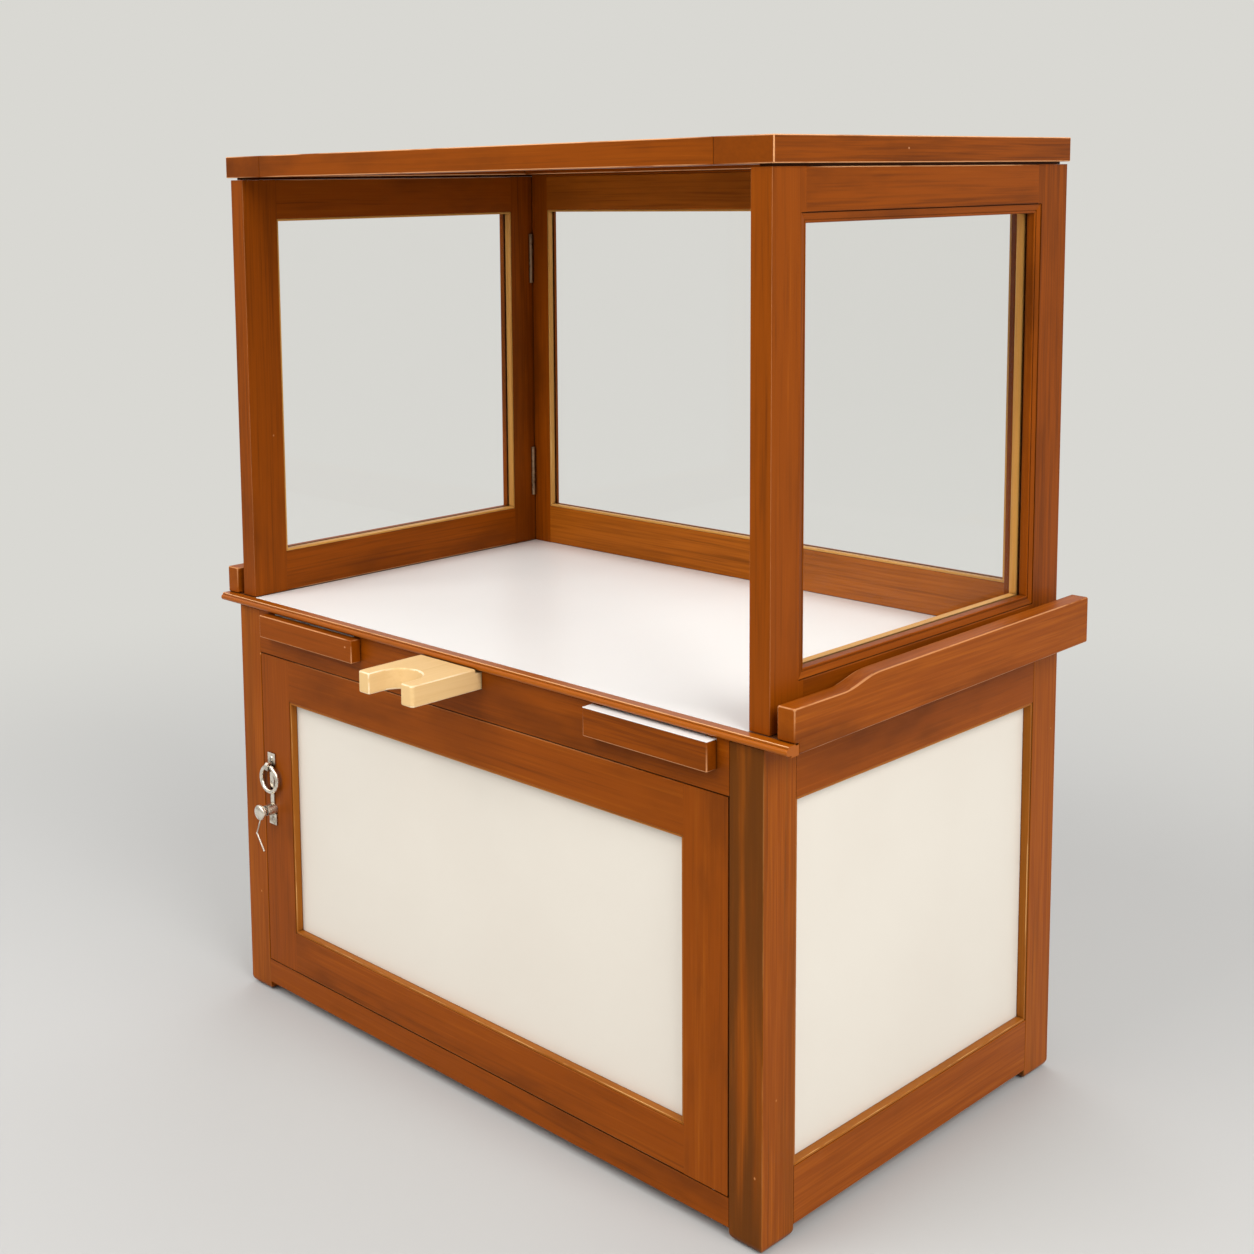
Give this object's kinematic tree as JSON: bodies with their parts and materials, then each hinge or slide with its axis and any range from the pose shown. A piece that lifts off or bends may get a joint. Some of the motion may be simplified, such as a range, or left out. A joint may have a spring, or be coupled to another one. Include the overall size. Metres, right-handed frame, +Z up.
{
  "type": "display cabinet with drawers",
  "caption": "Low panelled cabinet with pull-out boards and a white worktop under a glazed case that is open at the front, with folding sides and a lift-off lid.",
  "frame": {"origin": "middle of the whole outline on the floor, so that the four feet stand on Z = 0", "axes": "+Z up; +Y from the door side to the back; +X to the right as seen from the front"},
  "size_m": [0.968, 0.694, 1.157],
  "materials": {
    "stained_wood": "stained and lacquered, satin, worn on the edges",
    "bead_wood": "honey-coloured, satin",
    "cream_panel": "painted board, matt",
    "white_laminate": "white laminate, satin",
    "pale_pine": "pale pine, unfinished",
    "ply_board": "plywood, unfinished",
    "nickel_hardware": "worn nickel plate",
    "aged_steel": "brown aged steel",
    "clear_glass": "clear window glass"
  },
  "bodies": {
    "cabinet": {"front_posts": "stained_wood", "back_posts": "stained_wood", "front_apron": "stained_wood", "front_bottom_rail": "stained_wood", "back_rails": "stained_wood", "side_rails": "stained_wood", "side_panels": "cream_panel", "back_panel": "cream_panel", "panel_beads": "bead_wood", "bottom_board": "ply_board", "door_stop": "stained_wood", "door_pivot_pins": "nickel_hardware", "worktop_board": "ply_board", "worktop_laminate": "white_laminate", "worktop_moulding": "stained_wood", "beam_left": "stained_wood", "beam_right": "stained_wood", "tray_runners": "pale_pine", "bracket_guide": "pale_pine", "back_frame_stiles": "stained_wood", "back_frame_rails": "stained_wood", "back_frame_glass": "clear_glass", "back_frame_beads": "bead_wood", "back_frame_mouldings": "stained_wood", "fixed_hinge_leaves": "aged_steel", "case_hinge_pins": "aged_steel"},
    "door": {"door_stiles": "stained_wood", "door_rails": "stained_wood", "door_panel": "cream_panel", "door_beads": "bead_wood", "latch_plate": "nickel_hardware", "latch_screws": "nickel_hardware"},
    "latch": {"latch_knob": "nickel_hardware", "latch_cam": "nickel_hardware"},
    "ring": {"latch_ring": "nickel_hardware"},
    "hook": {"latch_hook": "nickel_hardware"},
    "left_tray": {"left_tray_bar": "stained_wood", "left_tray_board": "ply_board", "left_tray_laminate": "white_laminate", "left_tray_stop": "pale_pine"},
    "right_tray": {"right_tray_bar": "stained_wood", "right_tray_board": "ply_board", "right_tray_laminate": "white_laminate", "right_tray_stop": "pale_pine"},
    "bracket": {"notched_bracket": "pale_pine"},
    "left_frame": {"left_frame_stiles": "stained_wood", "left_frame_rails": "stained_wood", "left_frame_glass": "clear_glass", "left_frame_beads": "bead_wood", "left_frame_mouldings": "stained_wood", "left_hinge_leaves": "aged_steel"},
    "right_frame": {"right_frame_stiles": "stained_wood", "right_frame_rails": "stained_wood", "right_frame_glass": "clear_glass", "right_frame_beads": "bead_wood", "right_frame_mouldings": "stained_wood", "right_hinge_leaves": "aged_steel"},
    "lid": {"lid_frame": "stained_wood", "lid_panel": "stained_wood", "lid_strips": "stained_wood"}
  },
  "joints": [
    {"name": "door_swing", "type": "hinge", "parent": "cabinet", "child": "door", "pos_m": [0.3845, -0.233, 0.267], "axis": [0, 0, 1], "range_deg": [0, 110]},
    {"name": "latch_turn", "type": "hinge", "parent": "door", "child": "latch", "pos_m": [-0.3865, -0.239, 0.27], "axis": [0, 1, 0], "range_deg": [0, 90]},
    {"name": "ring_swing", "type": "hinge", "parent": "door", "child": "ring", "pos_m": [-0.3865, -0.2452, 0.3306], "axis": [-1, 0, 0], "range_deg": [0, 85]},
    {"name": "hook_swing", "type": "hinge", "parent": "door", "child": "hook", "pos_m": [-0.3865, -0.2584, 0.27], "axis": [0, 1, 0], "range_deg": [-60, 60]},
    {"name": "left_tray_slide", "type": "slide", "parent": "cabinet", "child": "left_tray", "axis": [0, -1, 0], "range_m": [0, 0.2]},
    {"name": "right_tray_slide", "type": "slide", "parent": "cabinet", "child": "right_tray", "axis": [0, -1, 0], "range_m": [0, 0.2]},
    {"name": "bracket_slide", "type": "slide", "parent": "cabinet", "child": "bracket", "axis": [0, -1, 0], "range_m": [0, 0.06]},
    {"name": "left_frame_fold", "type": "hinge", "parent": "cabinet", "child": "left_frame", "pos_m": [-0.4245, 0.3073, 0.842], "axis": [0, 0, 1], "range_deg": [0, 90]},
    {"name": "right_frame_fold", "type": "hinge", "parent": "cabinet", "child": "right_frame", "pos_m": [0.4245, 0.3073, 0.842], "axis": [0, 0, -1], "range_deg": [0, 84]},
    {"name": "lid_lift", "type": "slide", "parent": "cabinet", "child": "lid", "axis": [0, 0, 1], "range_m": [0, 0.25]}
  ]
}
